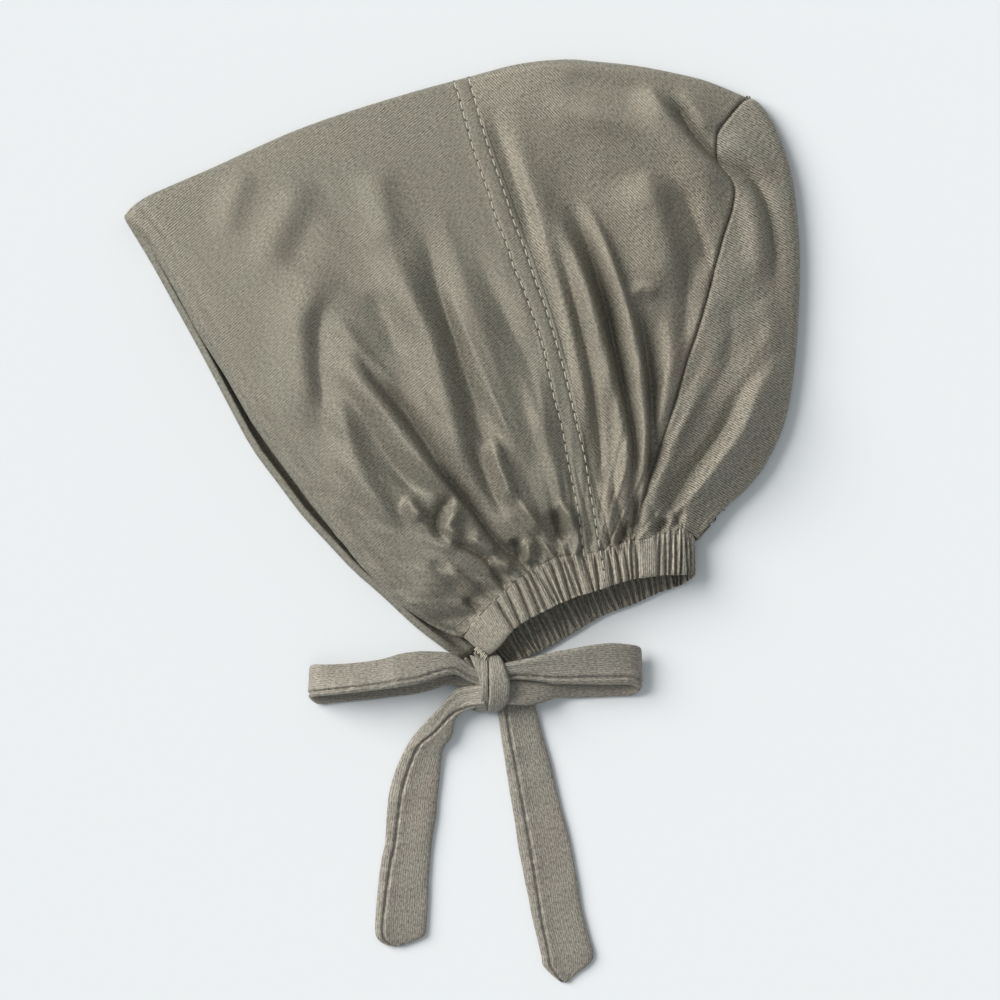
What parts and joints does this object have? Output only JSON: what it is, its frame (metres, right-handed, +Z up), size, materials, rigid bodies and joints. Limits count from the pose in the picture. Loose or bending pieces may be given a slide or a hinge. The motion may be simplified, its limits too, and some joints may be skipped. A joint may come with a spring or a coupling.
{
  "type": "hijab underscarf cap",
  "caption": "Jersey underscarf cap lying flat on its side, with a gathered elastic neck casing and flat ties knotted in a bow.",
  "frame": {"origin": "on the surface that the cap lies on, under the middle of the whole piece's box", "axes": "+X from the face edge towards the back of the head, +Y from the bow towards the crown, +Z up from the surface"},
  "size_m": [0.29, 0.3956, 0.0274],
  "materials": {
    "jersey": "fine knit jersey, grey olive, soft satin sheen",
    "jersey_back": "fine knit jersey, grey olive, matte",
    "jersey_gathered": "fine knit jersey drawn into close gathers",
    "jersey_tie": "fine knit jersey tube pressed flat, seamed along one side",
    "stitch_thread": "pale sewing thread"
  },
  "bodies": {
    "root": {"front_panel": "jersey", "middle_panel": "jersey", "back_panel": "jersey_back", "neck_casing": "jersey_gathered", "bow_knot": "jersey_tie", "left_loop": "jersey_tie", "right_loop": "jersey_tie", "left_tail": "jersey_tie", "right_tail": "jersey_tie", "upper_tie_root": "jersey_tie", "lower_tie_root": "jersey_tie"}
  },
  "joints": []
}
